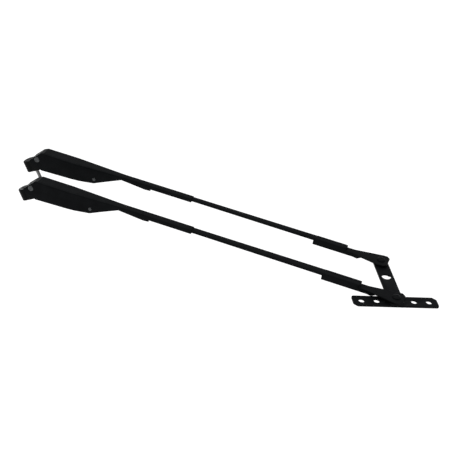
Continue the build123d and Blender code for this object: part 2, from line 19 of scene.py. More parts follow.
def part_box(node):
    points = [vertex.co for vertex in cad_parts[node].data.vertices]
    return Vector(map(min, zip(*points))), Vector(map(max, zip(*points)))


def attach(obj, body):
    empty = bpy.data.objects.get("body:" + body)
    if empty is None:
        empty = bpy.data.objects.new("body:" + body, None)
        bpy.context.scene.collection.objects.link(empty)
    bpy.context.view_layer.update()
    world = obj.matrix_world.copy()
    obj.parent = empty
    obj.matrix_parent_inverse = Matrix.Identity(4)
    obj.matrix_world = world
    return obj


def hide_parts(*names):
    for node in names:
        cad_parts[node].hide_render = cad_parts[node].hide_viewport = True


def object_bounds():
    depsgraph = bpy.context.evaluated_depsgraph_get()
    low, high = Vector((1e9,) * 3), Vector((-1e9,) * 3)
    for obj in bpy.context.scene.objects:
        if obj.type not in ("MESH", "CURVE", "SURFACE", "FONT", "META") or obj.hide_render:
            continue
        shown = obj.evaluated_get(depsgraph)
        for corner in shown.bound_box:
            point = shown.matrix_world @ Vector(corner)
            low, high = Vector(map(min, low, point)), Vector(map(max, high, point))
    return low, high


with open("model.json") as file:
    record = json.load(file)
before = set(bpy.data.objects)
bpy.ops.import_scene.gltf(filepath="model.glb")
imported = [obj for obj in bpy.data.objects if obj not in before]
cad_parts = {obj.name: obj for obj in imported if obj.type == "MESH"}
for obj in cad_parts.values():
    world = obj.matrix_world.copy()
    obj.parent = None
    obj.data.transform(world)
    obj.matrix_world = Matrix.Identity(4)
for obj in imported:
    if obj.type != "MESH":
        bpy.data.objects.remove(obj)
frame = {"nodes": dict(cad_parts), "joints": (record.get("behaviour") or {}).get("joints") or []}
cad_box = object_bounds()

Point = tuple[float, float]
Corner = tuple[float, float, float]
Colour = tuple[float, float, float]
Socket = bpy.types.NodeSocket

log = logging.getLogger("wiper_arm")
MM = 0.001
SHARP_EDGE = 40.0
UP = Vector((0, 0, 1))


class Arm(StrEnum):
    """The two arms, by the word that their nodes' names start with."""

    MAIN = "main"
    IDLER = "idler"


class Body(Enum):
    """The bodies that new pieces ride on."""

    MAIN_ARM = "main_arm"
    TIP_LINK = "tip_link"
    IDLER_ARM = "idler_arm"


class Slot(Enum):
    """The record's material slots, named for each new piece but not assigned by this script."""

    ROD_PAINT = "rod_paint"
    LINK_PAINT = "link_paint"
    BAR_PAINT = "bar_paint"
    RIVET_PAINT = "rivet_paint"
    PIN_ZINC = "pin_zinc"
    SPRING_STEEL = "spring_steel"


class NodeTree:
    """A new material's node tree, with short calls for its nodes and links."""

    # The Mix node's colour sockets share their names with its other sockets, so they go by number.
    FIRST_COLOUR = 6
    SECOND_COLOUR = 7
    MIXED_COLOUR = 2

    def __init__(self, name: str) -> None:
        """Start a material with a surface shader.

        Args:
            name: the material's name.
        """
        self.material = bpy.data.materials.new(name)
        self.material.use_nodes = True
        self.nodes = self.material.node_tree.nodes
        self.links = self.material.node_tree.links

    def feed(self, socket: Socket, value: object) -> None:
        """Link a socket into an input, or set the input's own value.

        Args:
            socket: the input.
            value: a socket, or the value to set.
        """
        if isinstance(value, Socket):
            self.links.new(value, socket)
        else:
            socket.default_value = value

    def fill(self, node: bpy.types.Node, inputs: dict[str, object]) -> None:
        """Feed some of a node's inputs.

        Args:
            node: the node.
            inputs: a value or a socket for each input, by name with underscores for blanks.
        """
        for name, value in inputs.items():
            self.feed(node.inputs[name.replace("_", " ")], value)

    def add(self, kind: str, **inputs: object) -> bpy.types.Node:
        """Add a node and feed its inputs.

        Args:
            kind: the node's type name, without its ShaderNode prefix.
            **inputs: a value or a socket for each input, by name with underscores for blanks.

        Returns:
            The new node.
        """
        node = self.nodes.new(f"ShaderNode{kind}")
        self.fill(node, inputs)
        return node

    def calculate(self, kind: str, *terms: object) -> Socket:
        """Result of an operation on numbers.

        Args:
            kind: the operation, such as MULTIPLY.
            *terms: its numbers or sockets, in order.

        Returns:
            The operation's output.
        """
        node = self.nodes.new("ShaderNodeMath")
        node.operation = kind
        for socket, term in zip(node.inputs, terms):
            self.feed(socket, term)
        return node.outputs[0]

    def vector(self, kind: str, *terms: object) -> bpy.types.Node:
        """Node for an operation on vectors.

        Args:
            kind: the operation, such as DOT_PRODUCT.
            *terms: its vectors or sockets, in order.

        Returns:
            The node, whose output depends on the operation.
        """
        node = self.nodes.new("ShaderNodeVectorMath")
        node.operation = kind
        for socket, term in zip(node.inputs, terms):
            self.feed(socket, term)
        return node

    def place(self) -> Socket:
        """The surface point in the piece's own metres."""
        return self.add("TexCoord").outputs["Object"]

    def grain(self, size: float, detail: float = 2.0, strength: float = 0.5) -> Socket:
        """Soft random pattern.

        Args:
            size: rough width of its features, in metres.
            detail: how many finer layers it has.
            strength: strength of the finer layers.

        Returns:
            The pattern's value, about a half on average.
        """
        noise = self.add("TexNoise", Vector=self.place(), Scale=1 / size, Detail=detail, Roughness=strength)
        return noise.outputs["Fac"]

    def ramp(self, value: object, low: float, high: float, start: float, end: float) -> Socket:
        """Value carried from one range to another, held at both ends.

        Args:
            value: the number or socket to carry.
            low: the value that gives start.
            high: the value that gives end.
            start: first result.
            end: last result.

        Returns:
            The carried value.
        """
        node = self.nodes.new("ShaderNodeMapRange")
        for socket, term in zip(node.inputs, (value, low, high, start, end)):
            self.feed(socket, term)
        return node.outputs[0]

    def cloud(
        self,
        size: float,
        span: tuple[float, float] = (0.0, 1.0),
        cut: tuple[float, float] = (0.3, 0.7),
        detail: float = 2.0,
        strength: float = 0.5,
    ) -> Socket:
        """Soft random pattern, carried to a range.

        Args:
            size: rough width of its features, in metres.
            span: the two results that it runs between.
            cut: the values of the bare pattern that give those two.
            detail: how many finer layers it has.
            strength: strength of the finer layers.

        Returns:
            The pattern's value.
        """
        return self.ramp(self.grain(size, detail, strength), *cut, *span)

    def blend(self, amount: object, first: object, second: object) -> Socket:
        """Mix of two colours.

        Args:
            amount: share of the second colour.
            first: colour or socket.
            second: colour or socket.

        Returns:
            The mixed colour.
        """
        node = self.nodes.new("ShaderNodeMix")
        node.data_type = "RGBA"
        self.feed(node.inputs["Factor"], amount)
        for place, colour in ((self.FIRST_COLOUR, first), (self.SECOND_COLOUR, second)):
            self.feed(node.inputs[place], colour if isinstance(colour, Socket) else (*colour, 1.0))
        return node.outputs[self.MIXED_COLOUR]

    def edges(self, rim: float, full_turn: float) -> tuple[Socket, Socket]:
        """Surface direction softened at the edges, and where those edges are.

        Args:
            rim: radius of the softening, in metres.
            full_turn: cosine of the softening's turn at which a point lies fully on an edge.

        Returns:
            The softened direction, and a value from 0 on the faces to 1 on the edges.
        """
        rounded = self.add("Bevel", Radius=rim).outputs["Normal"]
        facing = self.add("NewGeometry").outputs["Normal"]
        turned = self.vector("DOT_PRODUCT", rounded, facing).outputs["Value"]
        return rounded, self.ramp(turned, 0.995, full_turn, 0.0, 1.0)

    def bump(self, height: object, depth: float, normal: object = None) -> Socket:
        """Surface direction bent by a height pattern.

        Args:
            height: the pattern, from 0 to 1.
            depth: its full height, in metres.
            normal: surface direction to start from, or None for the surface's own.

        Returns:
            The bent direction.
        """
        node = self.add("Bump", Height=height, Distance=depth)
        if normal is not None:
            self.feed(node.inputs["Normal"], normal)
        return node.outputs["Normal"]

    def finish(self, **inputs: object) -> bpy.types.Material:
        """Feed the surface shader's inputs.

        Args:
            **inputs: a value or a socket for each input, by name with underscores for blanks.

        Returns:
            The material.
        """
        self.fill(self.nodes["Principled BSDF"], inputs)
        return self.material


def brighter(colour: Colour, times: float) -> Colour:
    """The colour with each of its parts multiplied."""
    return tuple(times * part for part in colour)


@dataclass(frozen=True)
class SatinPaint:
    """Satin black paint on steel: orange peel, faint mottling, softened rims and paint thinned along them."""

    name: str
    colour: Colour = (0.0026, 0.0029, 0.0033)
    mottling: float = 1.7
    mottle_size: float = 14 * MM
    worn: Colour = (0.024, 0.024, 0.025)
    worn_turn: float = 0.86
    worn_size: float = 3.5 * MM
    roughness: float = 0.32
    speck_size: float = 0.5 * MM
    drift_size: float = 25 * MM
    shine: float = 0.026
    peel_size: float = 1.1 * MM
    peel_depth: float = 0.012 * MM
    rim: float = 0.35 * MM

    def make(self) -> bpy.types.Material:
        """Make the material.

        Returns:
            The finished material.
        """
        tree = NodeTree(self.name)
        rounded, edge = tree.edges(self.rim, self.worn_turn)
        patches = tree.cloud(self.worn_size, cut=(0.42, 0.68), detail=4.0, strength=0.65)
        wear = tree.calculate("MULTIPLY", edge, patches)
        mottle = tree.cloud(self.mottle_size, detail=3.0)
        base = tree.blend(mottle, self.colour, brighter(self.colour, self.mottling))
        specks = tree.cloud(self.speck_size, span=(-0.05, 0.07), cut=(0.35, 0.7))
        drift = tree.cloud(self.drift_size, span=(self.roughness - 0.03, self.roughness + 0.05))
        peel = tree.bump(tree.grain(self.peel_size), self.peel_depth, rounded)
        fine = tree.bump(tree.grain(self.peel_size / 4, 1.0), self.peel_depth / 5, peel)
        return tree.finish(
            Base_Color=tree.blend(wear, base, self.worn),
            Roughness=tree.calculate("ADD", specks, drift),
            Specular_IOR_Level=self.shine,
            Normal=fine,
        )


@dataclass(frozen=True)
class CastPaint:
    """Satin paint over a die casting: coarser skin with shallow pits, and paler worn rims."""

    name: str
    colour: Colour = (0.0028, 0.003, 0.0032)
    mottling: float = 1.6
    worn: Colour = (0.026, 0.026, 0.027)
    worn_turn: float = 0.8
    worn_size: float = 2.5 * MM
    roughness: float = 0.44
    drift_size: float = 4 * MM
    shine: float = 0.038
    skin_size: float = 0.9 * MM
    skin_depth: float = 0.06 * MM
    rim: float = 0.5 * MM

    def make(self) -> bpy.types.Material:
        """Make the material.

        Returns:
            The finished material.
        """
        tree = NodeTree(self.name)
        rounded, edge = tree.edges(self.rim, self.worn_turn)
        patches = tree.cloud(self.worn_size, cut=(0.4, 0.66), detail=4.0, strength=0.7)
        wear = tree.calculate("MULTIPLY", edge, patches)
        pits = tree.add("TexVoronoi", Vector=tree.place(), Scale=1 / self.skin_size).outputs["Distance"]
        shade = tree.ramp(pits, 0.0, 0.8, 0.0, 1.0)
        base = tree.blend(shade, brighter(self.colour, self.mottling), self.colour)
        drift = tree.cloud(self.drift_size, span=(self.roughness - 0.06, self.roughness + 0.08), detail=3.0)
        return tree.finish(
            Base_Color=tree.blend(wear, base, self.worn),
            Roughness=drift,
            Specular_IOR_Level=self.shine,
            Normal=tree.bump(tree.grain(self.skin_size, 3.0, 0.6), self.skin_depth, rounded),
        )


@dataclass(frozen=True)
class TurnedSteel:
    """Bare or plated steel turned about an axis: fine tool rings, cloudy plating and darker stains."""

    name: str
    centre: Vector
    axis: Vector
    colour: Colour = (0.085, 0.088, 0.09)
    stain: Colour = (0.034, 0.035, 0.037)
    stain_size: float = 1.6 * MM
    roughness: float = 0.34
    drift_size: float = 1.2 * MM
    ring: float = 0.22 * MM
    ring_depth: float = 0.006 * MM
    scuff_size: float = 0.8 * MM
    scuff_depth: float = 0.01 * MM
    rim: float = 0.15 * MM

    def rings(self, tree: NodeTree) -> Socket:
        """Waves that the tool left, round the axis on a flank and about it on a face.

        Args:
            tree: the material's node tree.

        Returns:
            The waves, from -1 to 1.
        """
        axis = self.axis.normalized()
        offset = tree.vector("SUBTRACT", tree.place(), self.centre).outputs["Vector"]
        along = tree.vector("DOT_PRODUCT", offset, axis).outputs["Value"]
        radial = tree.vector("CROSS_PRODUCT", offset, axis).outputs["Vector"]
        distance = tree.vector("LENGTH", radial).outputs["Value"]
        travel = tree.calculate("ADD", distance, along)
        return tree.calculate("SINE", tree.calculate("MULTIPLY", travel, 2 * pi / self.ring))

    def make(self) -> bpy.types.Material:
        """Make the material.

        Returns:
            The finished material.
        """
        tree = NodeTree(self.name)
        rounded = tree.add("Bevel", Radius=self.rim).outputs["Normal"]
        turned = tree.bump(self.rings(tree), self.ring_depth, rounded)
        stains = tree.cloud(self.stain_size, cut=(0.35, 0.7), detail=4.0, strength=0.6)
        drift = tree.cloud(self.drift_size, span=(self.roughness - 0.05, self.roughness + 0.1), detail=3.0)
        return tree.finish(
            Base_Color=tree.blend(stains, self.colour, self.stain),
            Roughness=drift,
            Metallic=1.0,
            Normal=tree.bump(tree.grain(self.scuff_size, 3.0), self.scuff_depth, turned),
        )


@dataclass(frozen=True)
class DrawnWire:
    """Oil-dark spring wire with fine draw marks and a thin brown bloom."""

    name: str
    colour: Colour = (0.15, 0.15, 0.155)
    bloom: Colour = (0.07, 0.058, 0.045)
    bloom_size: float = 5 * MM
    roughness: float = 0.3
    drift_size: float = 0.9 * MM
    mark_size: float = 0.25 * MM
    mark_depth: float = 0.012 * MM

    def make(self) -> bpy.types.Material:
        """Make the material.

        Returns:
            The finished material.
        """
        tree = NodeTree(self.name)
        stain = tree.cloud(self.bloom_size, span=(0.0, 0.8), cut=(0.45, 0.75), detail=4.0, strength=0.6)
        return tree.finish(
            Base_Color=tree.blend(stain, self.colour, self.bloom),
            Roughness=tree.cloud(self.drift_size, span=(self.roughness, self.roughness + 0.2), detail=3.0),
            Metallic=1.0,
            Normal=tree.bump(tree.grain(self.mark_size, 3.0, 0.7), self.mark_depth),
        )


def dress_node(node: str, material: bpy.types.Material) -> None:
    """Give a CAD node a finish through its object's material slots.

    Args:
        node: the node's name.
        material: its new finish.
    """
    for place in frame["nodes"][node].material_slots:
        place.link = "OBJECT"
        place.material = material
    log.info("dressed %s in %s", node, material.name)


def middle(node: str) -> Vector:
    """Middle of a CAD node's box."""
    low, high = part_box(node)
    return (low + high) / 2


def eased(corners: list[Corner], closed: bool = False, steps: int = 5) -> list[Point]:
    """Outline whose corners are rounded.

    Args:
        corners: x, y and how far from the corner its rounding starts, where 0 keeps it sharp.
        closed: whether the last corner leads back to the first.
        steps: stretches along each rounding.

    Returns:
        The outline's points.
    """
    points = []
    for index, (x, y, cut) in enumerate(corners):
        corner = Vector((x, y))
        inner = closed or 0 < index < len(corners) - 1
        if cut == 0 or not inner:
            points.append((x, y))
            continue
        back = (Vector(corners[index - 1][:2]) - corner).normalized()
        ahead = (Vector(corners[(index + 1) % len(corners)][:2]) - corner).normalized()
        half = back.angle(ahead) / 2
        centre = corner + (back + ahead).normalized() * cut / cos(half)
        start = corner + back * cut - centre
        end = corner + ahead * cut - centre
        for step in range(steps + 1):
            point = centre + start.slerp(end, step / steps).normalized() * start.length
            points.append((point.x, point.y))
    return points


def soft_box(low: Point, high: Point, cut: float) -> list[Point]:
    """Outline of a rectangle with rounded corners.

    Args:
        low: its least x and y.
        high: its greatest x and y.
        cut: how far from each corner the rounding starts.

    Returns:
        The outline's points.
    """
    (left, bottom), (right, top) = low, high
    places = [(left, bottom), (right, bottom), (right, top), (left, top)]
    return eased([(x, y, cut) for x, y in places], closed=True)


def circle(centre: Point, radius: float, steps: int = 40) -> list[Point]:
    """Points round a circle.

    Args:
        centre: its middle.
        radius: its radius.
        steps: how many points.

    Returns:
        The points, in order.
    """
    turns = [2 * pi * step / steps for step in range(steps)]
    return [(centre[0] + radius * cos(turn), centre[1] + radius * sin(turn)) for turn in turns]


def linked(name: str, data: bpy.types.ID) -> bpy.types.Object:
    """New object of the scene that holds a mesh, a curve, a light or a camera.

    Args:
        name: the object's name.
        data: what it holds.

    Returns:
        The object.
    """
    thing = bpy.data.objects.new(name, data)
    bpy.context.scene.collection.objects.link(thing)
    return thing


def finished(name: str, shape: bmesh.types.BMesh, finish: bpy.types.Material) -> bpy.types.Object:
    """Turn a drawn shape into a smooth-shaded object of the scene.

    Args:
        name: the new object's name.
        shape: the drawn shape, which is freed.
        finish: its material.

    Returns:
        The object.
    """
    bmesh.ops.recalc_face_normals(shape, faces=shape.faces)
    mesh = bpy.data.meshes.new(name)
    shape.to_mesh(mesh)
    shape.free()
    mesh.shade_smooth()
    mesh.set_sharp_from_angle(angle=radians(SHARP_EDGE))
    mesh.materials.append(finish)
    return linked(name, mesh)


@dataclass
class TurnedPiece:
    """Pin or rivet, drawn as half an outline and spun about its axis, in place of a CAD one."""

    name: str
    node: str
    body: Body
    slot: Slot
    centre: Vector
    axis: Vector
    steps: int = 56
    merge: float = 0.001 * MM

    def build(self, outline: list[Point], finish: bpy.types.Material) -> bpy.types.Object:
        """Spin the outline and set the piece in place of its node.

        Args:
            outline: distance from the axis and height along it from the centre, from one end to the other.
            finish: the piece's material.

        Returns:
            The piece's object.
        """
        shape = bmesh.new()
        verts = [shape.verts.new((radius, 0, height)) for radius, height in outline]
        edges = [shape.edges.new(pair) for pair in zip(verts, verts[1:])]
        bmesh.ops.spin(
            shape,
            geom=verts + edges,
            cent=(0, 0, 0),
            axis=UP,
            angle=2 * pi,
            steps=self.steps,
            use_merge=True,
        )
        bmesh.ops.remove_doubles(shape, verts=shape.verts, dist=self.merge)
        turn = UP.rotation_difference(self.axis).to_matrix().to_4x4()
        bmesh.ops.transform(shape, matrix=Matrix.Translation(self.centre) @ turn, verts=shape.verts)
        piece = finished(self.name, shape, finish)
        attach(piece, self.body.value)
        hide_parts(self.node)
        log.info("built %s", piece.name)
        return piece


@dataclass
class CrossPin:
    """Pin across an arm: a smooth domed head on the far side and a formed, dimpled head on the near side.

    The sizes without a unit are shares of the head's radius, or of its height for the wall and the dome's
    drop.
    """

    node: str
    body: Body
    shank_radius: float
    head_radius: float
    head_height: float
    dimple_depth: float = 0.3 * MM
    dimple_floor: float = 0.22
    dimple_mouth: float = 0.42
    face: float = 0.7
    wall: float = 0.35
    dome_shoulder: float = 0.62
    dome_drop: float = 0.18
    dome_top: float = 0.2
    easing: float = 0.1

    def build(self) -> None:
        """Draw the pin in place of its CAD node."""
        low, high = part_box(self.node)
        radius = self.head_radius
        soft = self.easing * radius
        end = (high.y - low.y) / 2
        seat = end - self.head_height
        rim = seat + self.wall * self.head_height
        near = [
            (0, end - self.dimple_depth, 0),
            (self.dimple_floor * radius, end - self.dimple_depth, soft),
            (self.dimple_mouth * radius, end, soft),
            (self.face * radius, end, 2 * soft),
            (radius, rim, soft),
            (radius, seat, 0),
            (self.shank_radius, seat, 0),
        ]
        far = [
            (self.shank_radius, -seat, 0),
            (radius, -seat, 0),
            (radius, -rim, soft),
            (self.dome_shoulder * radius, -end + self.dome_drop * self.head_height, 2.5 * soft),
            (self.dome_top * radius, -end, 1.5 * soft),
            (0, -end, 0),
        ]
        centre = middle(self.node)
        toward = Vector((0, -1, 0))
        finish = TurnedSteel(f"{self.node}_zinc", centre, toward).make()
        piece = TurnedPiece(f"{self.node}_formed", self.node, self.body, Slot.PIN_ZINC, centre, toward)
        piece.build(eased(near + far), finish)


@dataclass
class TipRivet:
    """Rivet at an arm's tip: a wide low head with a formed dimple, and a swaged tail under the link.

    The sizes without a unit are shares: of the radius for the dimple's floor, the head's crown and the tail's
    face, and of the height for the walls of head and tail.
    """

    arm: Arm
    shank_radius: float = 3.2 * MM
    head_radius: float = 5.0 * MM
    head_height: float = 1.7 * MM
    tail_radius: float = 4.1 * MM
    tail_height: float = 1.2 * MM
    dimple_radius: float = 1.6 * MM
    dimple_depth: float = 0.6 * MM
    dimple_lip: float = 0.05 * MM
    dimple_floor: float = 0.6
    crown: float = 0.62
    head_wall: float = 0.45
    tail_wall: float = 0.5
    tail_face: float = 0.7
    crown_easing: float = 0.8 * MM
    rim_easing: float = 0.5 * MM
    lip_easing: float = 0.3 * MM

    def build(self) -> None:
        """Draw the rivet in place of its CAD node."""
        node = f"{self.arm}_tip_rivet"
        low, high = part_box(node)
        top = (high.z - low.z) / 2
        seat = top - self.head_height
        under = -top + self.tail_height
        floor = self.dimple_floor * self.dimple_radius
        outline = [
            (0, top - self.dimple_depth, 0),
            (floor, top - self.dimple_depth, floor / 2),
            (self.dimple_radius, top - self.dimple_lip, self.lip_easing),
            (self.crown * self.head_radius, top, self.crown_easing),
            (self.head_radius, seat + self.head_wall * self.head_height, self.rim_easing),
            (self.head_radius, seat, 0),
            (self.shank_radius, seat, 0),
            (self.shank_radius, under, 0),
            (self.tail_radius, under, 0),
            (self.tail_radius, under - self.tail_wall * self.tail_height, self.lip_easing),
            (self.tail_face * self.tail_radius, -top, self.rim_easing),
            (0, -top, 0),
        ]
        finish = SatinPaint(f"{self.arm}_rivet_black", worn=(0.05, 0.05, 0.052), rim=0.5 * MM).make()
        piece = TurnedPiece(
            f"{self.arm}_tip_rivet_formed", node, Body.TIP_LINK, Slot.RIVET_PAINT, middle(node), UP
        )
        piece.build(eased(outline), finish)


@dataclass
class StampedPlate:
    """Flat plate stamped from sheet, with rolled rims, in place of a CAD one."""

    name: str
    node: str
    body: Body
    slot: Slot
    origin: Vector
    along: Vector
    rim: float = 0.3 * MM
    rim_steps: int = 3
    rim_angle: float = 80.0

    def build(
        self,
        outline: list[Point],
        holes: list[list[Point]],
        finish: bpy.types.Material,
    ) -> bpy.types.Object:
        """Draw the plate between its node's own faces and set it in place of the node.

        Args:
            outline: points round its edge, with x along it and y across.
            holes: points round each hole.
            finish: the plate's material.

        Returns:
            The plate's object.
        """
        low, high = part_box(self.node)
        shape = bmesh.new()
        edges = []
        for loop in [outline, *holes]:
            verts = [shape.verts.new((x, y, 0)) for x, y in loop]
            edges += [shape.edges.new(pair) for pair in zip(verts, verts[1:] + verts[:1])]
        bmesh.ops.triangle_fill(shape, use_beauty=True, use_dissolve=True, edges=edges)
        raised = bmesh.ops.extrude_face_region(shape, geom=shape.faces[:])["geom"]
        top = [part for part in raised if isinstance(part, bmesh.types.BMVert)]
        bmesh.ops.translate(shape, verts=top, vec=(0, 0, high.z - low.z))
        bmesh.ops.recalc_face_normals(shape, faces=shape.faces)
        rims = [edge for edge in shape.edges if edge.calc_face_angle(0) > radians(self.rim_angle)]
        bmesh.ops.bevel(
            shape, geom=rims, offset=self.rim, segments=self.rim_steps, profile=0.5, affect="EDGES"
        )
        turn = Matrix((self.along, UP.cross(self.along), UP)).transposed().to_4x4()
        place = Matrix.Translation((self.origin.x, self.origin.y, low.z)) @ turn
        bmesh.ops.transform(shape, matrix=place, verts=shape.verts)
        plate = finished(self.name, shape, finish)
        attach(plate, self.body.value)
        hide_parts(self.node)
        log.info("built %s", plate.name)
        return plate


@dataclass
class FlatRod:
    """Rolled flat bar, a little deeper at the tip, from the cover's channel to the tip fitting.

    It stands in place of the slimmer CAD rod. The rear and front ends are given as width and thickness.
    """

    arm: Arm
    body: Body
    rear: tuple[float, float]
    front: tuple[float, float]
    corner: float = 0.9 * MM

    def build(self, finish: bpy.types.Material) -> bpy.types.Object:
        """Draw the bar over its node's length and set it in place of the node.

        Args:
            finish: the bar's material.

        Returns:
            The bar's object.
        """
        low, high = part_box(f"{self.arm}_rod")
        centre = (low + high) / 2
        shape = bmesh.new()
        rings = []
        for along, (width, thickness) in ((low.x, self.rear), (high.x, self.front)):
            half = (width / 2, thickness / 2)
            outline = soft_box((-half[0], -half[1]), half, self.corner)
            rings.append([shape.verts.new((along, centre.y + y, centre.z + z)) for y, z in outline])
        rear, front = rings
        for first in range(len(rear)):
            second = (first + 1) % len(rear)
            shape.faces.new((rear[first], rear[second], front[second], front[first]))
        shape.faces.new(rear)
        shape.faces.new(front)
        rod = finished(f"{self.arm}_rod_rolled", shape, finish)
        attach(rod, self.body.value)
        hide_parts(f"{self.arm}_rod")
        log.info("built %s", rod.name)
        return rod


@dataclass
class RoundWireSpring:
    """Tension spring of round wire, which stands for an arm's plain CAD coil."""

    arm: Arm
    body: Body
    coil_radius: float = 4.2 * MM
    wire: float = 1.5 * MM
    turns: int = 12
    hook_length: float = 18.0 * MM
    anchor_radius: float = 1.5 * MM
    pin_radius: float = 1.6 * MM
    hook_gap: float = 0.1 * MM
    hook_turn: float = 225.0
    steps: int = 24
    wire_roundness: int = 4

    def ends(self) -> tuple[Vector, Vector]:
        """Axes of the two pins that the hooks hold, on the arm's centre line.

        Returns:
            The head's anchor pin and the cover's spring pin.
        """
        return middle(f"{self.arm}_head_anchor_pin"), middle(f"{self.arm}_spring_pin")

    def hook(self, eye: float, along: float, side: int) -> list[Vector]:
        """A hook's middle line in the spring's own plane, from its free end to the coil.

        Args:
            eye: radius of the hook's eye.
            along: distance of its pin along the spring.
            side: 1 where the coil lies ahead of the pin, and -1 where it lies behind.

        Returns:
            Points with x along the spring and z up.
        """
        reach = hypot(self.hook_length, self.coil_radius)
        first = atan2(self.coil_radius, self.hook_length) + acos(eye / reach)
        points = []
        for step in range(self.steps, -1, -1):
            angle = first + radians(self.hook_turn) * step / self.steps
            points.append(Vector((along + side * eye * cos(angle), 0, eye * sin(angle))))
        return points

    def line(self) -> list[Vector]:
        """The whole wire's middle line, from one hook's free end to the other's.

        Returns:
            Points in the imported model's frame.
        """
        rear, front = self.ends()
        span = (front - rear).length
        points = self.hook(self.anchor_radius + self.hook_gap + self.wire / 2, 0, 1)
        coil_length = span - 2 * self.hook_length
        for step in range(self.turns * self.steps + 1):
            turned = 2 * pi * step / self.steps
            ahead = self.hook_length + coil_length * step / (self.turns * self.steps)
            points.append(Vector((ahead, -self.coil_radius * sin(turned), self.coil_radius * cos(turned))))
        points += reversed(self.hook(self.pin_radius + self.hook_gap + self.wire / 2, span, -1))
        along = (front - rear).normalized()
        side = Vector((0, 1, 0))
        turn = Matrix((along, side, along.cross(side))).transposed()
        return [rear + turn @ point for point in points]

    def build(self, finish: bpy.types.Material) -> bpy.types.Object:
        """Draw the wire and set it in place of the CAD coil.

        Args:
            finish: the wire's material.

        Returns:
            The spring's object.
        """
        curve = bpy.data.curves.new(f"{self.arm}_round_spring", "CURVE")
        curve.dimensions = "3D"
        curve.bevel_depth = self.wire / 2
        curve.bevel_resolution = self.wire_roundness
        curve.use_fill_caps = True
        points = self.line()
        spline = curve.splines.new("POLY")
        spline.points.add(len(points) - 1)
        for place, point in zip(spline.points, points):
            place.co = (*point, 1.0)
        spline.use_smooth = True
        curve.materials.append(finish)
        spring = linked(curve.name, curve)
        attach(spring, self.body.value)
        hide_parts(f"{self.arm}_spring")
        log.info("built %s", spring.name)
        return spring


@dataclass
class WiperArm:
    """One arm from its head to its tip: casting, pressed cover, rod, fitting and pins.

    The rod's rear and front ends are given as width and thickness.
    """

    arm: Arm
    body: Body
    rod_rear: tuple[float, float]
    rod_front: tuple[float, float]

    def dress(self) -> None:
        """Finish the arm's CAD nodes: head, cover, fitting, anchor pin and washer."""
        anchor = f"{self.arm}_head_anchor_pin"
        washer = f"{self.arm}_tip_washer"
        dress_node(f"{self.arm}_head", CastPaint(f"{self.arm}_cast_black").make())
        dress_node(f"{self.arm}_cover", SatinPaint(f"{self.arm}_cover_black").make())
        dress_node(f"{self.arm}_tip_fitting", SatinPaint(f"{self.arm}_fitting_black", roughness=0.36).make())
        dress_node(anchor, TurnedSteel(f"{anchor}_zinc", middle(anchor), Vector((0, 1, 0))).make())
        plain = TurnedSteel(
            f"{washer}_steel",
            middle(washer),
            UP,
            colour=(0.08, 0.08, 0.084),
            stain=(0.03, 0.03, 0.032),
        )
        dress_node(washer, plain.make())

    def build(self) -> None:
        """Dress the arm, then draw its rod, its pins, its rivet and its spring."""
        self.dress()
        paint = SatinPaint(f"{self.arm}_rod_black", roughness=0.4, peel_depth=0.008 * MM).make()
        FlatRod(self.arm, self.body, self.rod_rear, self.rod_front).build(paint)
        CrossPin(
            f"{self.arm}_pivot_pin",
            self.body,
            shank_radius=2.3 * MM,
            head_radius=3.6 * MM,
            head_height=1.0 * MM,
        ).build()
        CrossPin(
            f"{self.arm}_spring_pin",
            self.body,
            shank_radius=1.6 * MM,
            head_radius=2.2 * MM,
            head_height=0.7 * MM,
            dimple_depth=0.2 * MM,
        ).build()
        TipRivet(self.arm).build()
        RoundWireSpring(self.arm, self.body).build(DrawnWire(f"{self.arm}_spring_wire").make())


@dataclass
class SpindleParts:
    """The main head's steel sleeve and set screw, and the idler head's stud.

    The sleeve and the stud lean back from upright by the droop, in degrees, and the screw is square to them.
    The sleeve's axis runs through the frame's origin.
    """

    droop: float = 30.0

    def build(self) -> None:
        """Finish the steel pieces that join the heads to the vehicle."""
        lean = radians(self.droop)
        up = Vector((-sin(lean), 0, cos(lean)))
        back = Vector((-cos(lean), 0, -sin(lean)))
        sleeve = TurnedSteel(
            "sleeve_steel",
            Vector((0, 0, 0)),
            up,
            colour=(0.42, 0.42, 0.43),
            roughness=0.3,
        )
        dress_node("main_spindle_sleeve", sleeve.make())
        screw = TurnedSteel(
            "screw_black_oxide",
            middle("main_set_screw"),
            back,
            colour=(0.08, 0.08, 0.085),
            stain=(0.05, 0.048, 0.046),
        )
        dress_node("main_set_screw", screw.make())
        stud = TurnedSteel(
            "stud_steel",
            middle("idler_stud"),
            up,
            colour=(0.2, 0.2, 0.205),
            stain=(0.11, 0.105, 0.1),
            ring=0.3 * MM,
        )
        dress_node("idler_stud", stud.make())


